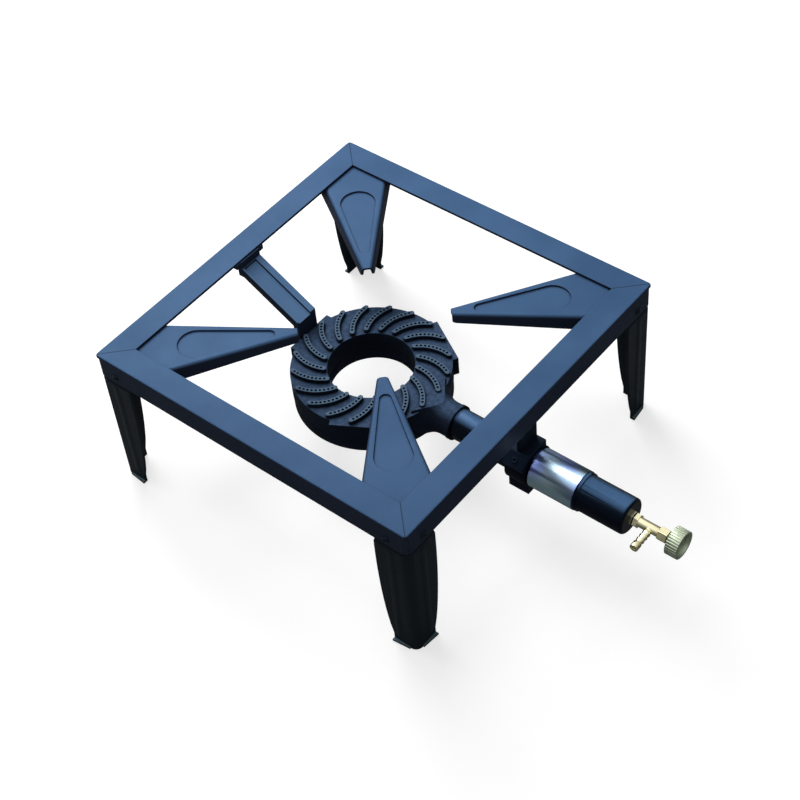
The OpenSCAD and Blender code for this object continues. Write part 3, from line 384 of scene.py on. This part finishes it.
def dressNode(node, slotName, edge):
    # gives a node its material and, where edge isn't 0, softened edges of that width
    part = nodes[node]
    part.data.materials.clear()
    part.data.materials.append(finishes[slotName])
    if not edge:
        return
    weld = part.modifiers.new("weld", "WELD")
    weld.merge_threshold = edgeFinish["merge"] * mm
    flat = part.modifiers.new("flatFaces", "DECIMATE")
    flat.decimate_type = "DISSOLVE"
    flat.angle_limit = math.radians(edgeFinish["flatten"])
    bevel = part.modifiers.new("softEdges", "BEVEL")
    bevel.width = edge * mm
    bevel.segments = edgeFinish["segments"]
    bevel.limit_method = "ANGLE"
    bevel.angle_limit = math.radians(edgeFinish["sharper"])
    bevel.harden_normals = True
    bevel.use_clamp_overlap = True


# edge widths in mm; the thin shutter keeps its sharp ends
slotOf = {row["node"]: row["material_slot"] for row in frame["record"]["subparts"]}
edgeOf = {"burner_head": 0.5, "burner_pan": 0.5, "rear_arm": 0.9, "tube_collar": 0.9,
          "control_knob": 0.25, "air_shutter": 0}
edgeOf.update({node: 0.6 for node in nodes if node.endswith(("_rail", "_support"))})
plainEdge = 0.3
for node in nodes:
    dressNode(node, slotOf[node], edgeOf.get(node, plainEdge))
print("nodes dressed")


# floor, light and camera

# sizes in metres; the floor is darker where metal mirrors it and glows towards the camera
floorLook = {"size": 12, "drop": 0.0002, "grey": (0.42, 0.42, 0.42), "mirrored": (0.17, 0.18, 0.18),
             "rough": 0.9, "glow": 0.67}


def floorMaterial(look):
    material, tree, shader = nodeTree("paleFloor")
    rays = tree.nodes.new("ShaderNodeLightPath")
    grey = blendColour(tree, rays.outputs["Is Glossy Ray"], look["grey"], look["mirrored"])
    tree.links.new(grey, shader.inputs["Base Color"])
    shader.inputs["Roughness"].default_value = look["rough"]
    shader.inputs["Specular IOR Level"].default_value = 0.0
    shader.inputs["Emission Color"].default_value = (1, 1, 1, 1)
    glow = combine(tree, rays.outputs["Is Camera Ray"], look["glow"])
    tree.links.new(glow, shader.inputs["Emission Strength"])
    return material


def makeFloor(look):
    bm = bmesh.new()
    bmesh.ops.create_grid(bm, x_segments=1, y_segments=1, size=look["size"] / 2)
    mesh = bpy.data.meshes.new("floor")
    bm.to_mesh(mesh)
    bm.free()
    floor = bpy.data.objects.new("floor", mesh)
    floor.data.materials.append(floorMaterial(look))
    floor.location.z = -look["drop"]
    bpy.context.scene.collection.objects.link(floor)


# soft lights behind the stove: places and sizes in metres, powers in watts
lamps = {"topLight": {"place": (0.15, 1.0, 2.4), "size": 1.6, "power": 36},
         "backLight": {"place": (0.5, 1.05, 1.0), "size": 0.8, "power": 13}}
lampTarget = (0, 0, 0.1)


def softbox(name, look):
    lamp = bpy.data.lights.new(name, "AREA")
    lamp.shape = "SQUARE"
    lamp.size = look["size"]
    lamp.energy = look["power"]
    holder = bpy.data.objects.new(name, lamp)
    holder.location = look["place"]
    holder.rotation_mode = "QUATERNION"
    aim = Vector(lampTarget) - Vector(look["place"])
    holder.rotation_quaternion = aim.to_track_quat("-Z", "Y")
    bpy.context.scene.collection.objects.link(holder)


# brightness of the fill, and of the horizon and the ceiling that metal mirrors;
# these two meet between two heights of the mirrored ray
studioLook = {"fill": 0.33, "horizon": 0.28, "ceiling": 1.1, "meet": (0.35, 0.85)}


def makeWorld(look):
    # white behind the stove, a dim fill on it, and a dark horizon under a bright ceiling for metal
    world = bpy.data.worlds.new("studio")
    world.use_nodes = True
    tree = world.node_tree
    background = tree.nodes["Background"]
    background.inputs["Color"].default_value = (1, 1, 1, 1)
    rays = tree.nodes.new("ShaderNodeLightPath").outputs
    height = placeAxes(tree)["Z"]
    low, high = look["horizon"] - look["fill"], look["ceiling"] - look["fill"]
    mirrored = ranged(tree, height, low, high, *look["meet"])
    mirrored = combine(tree, mirrored, rays["Is Glossy Ray"], "MULTIPLY", False)
    level = combine(tree, mirrored, look["fill"], "ADD", False)
    seen = combine(tree, rays["Is Camera Ray"], rays["Is Transmission Ray"], "MAXIMUM")
    tree.links.new(combine(tree, level, seen, "MAXIMUM", False), background.inputs["Strength"])
    bpy.context.scene.world = world


# the photograph's camera, fitted to the frame's corners; the frame's centre is behind the origin
cameraLook = {
    "place": (-0.9155, -0.8829 + frameCentreY, 1.4480), "forward": (0.49173, 0.46153, -0.73836),
    "up": (0.60675, 0.42657, 0.67072), "lens": 80.3, "sensor": 36, "far": 50}


def makeCamera(look):
    camera = bpy.data.cameras.new("camera")
    camera.lens = look["lens"]
    camera.sensor_width = look["sensor"]
    camera.clip_end = look["far"]
    holder = bpy.data.objects.new("camera", camera)
    back = -Vector(look["forward"]).normalized()
    right = Vector(look["up"]).cross(back).normalized()
    up = back.cross(right)
    turn = Matrix((right, up, back)).transposed()
    holder.matrix_world = Matrix.Translation(look["place"]) @ turn.to_4x4()
    bpy.context.scene.collection.objects.link(holder)
    bpy.context.scene.camera = holder


makeCamera(cameraLook)
makeFloor(floorLook)
for name, look in lamps.items():
    softbox(name, look)
makeWorld(studioLook)
bpy.context.scene.view_settings.view_transform = "Standard"
print("stage and camera set")
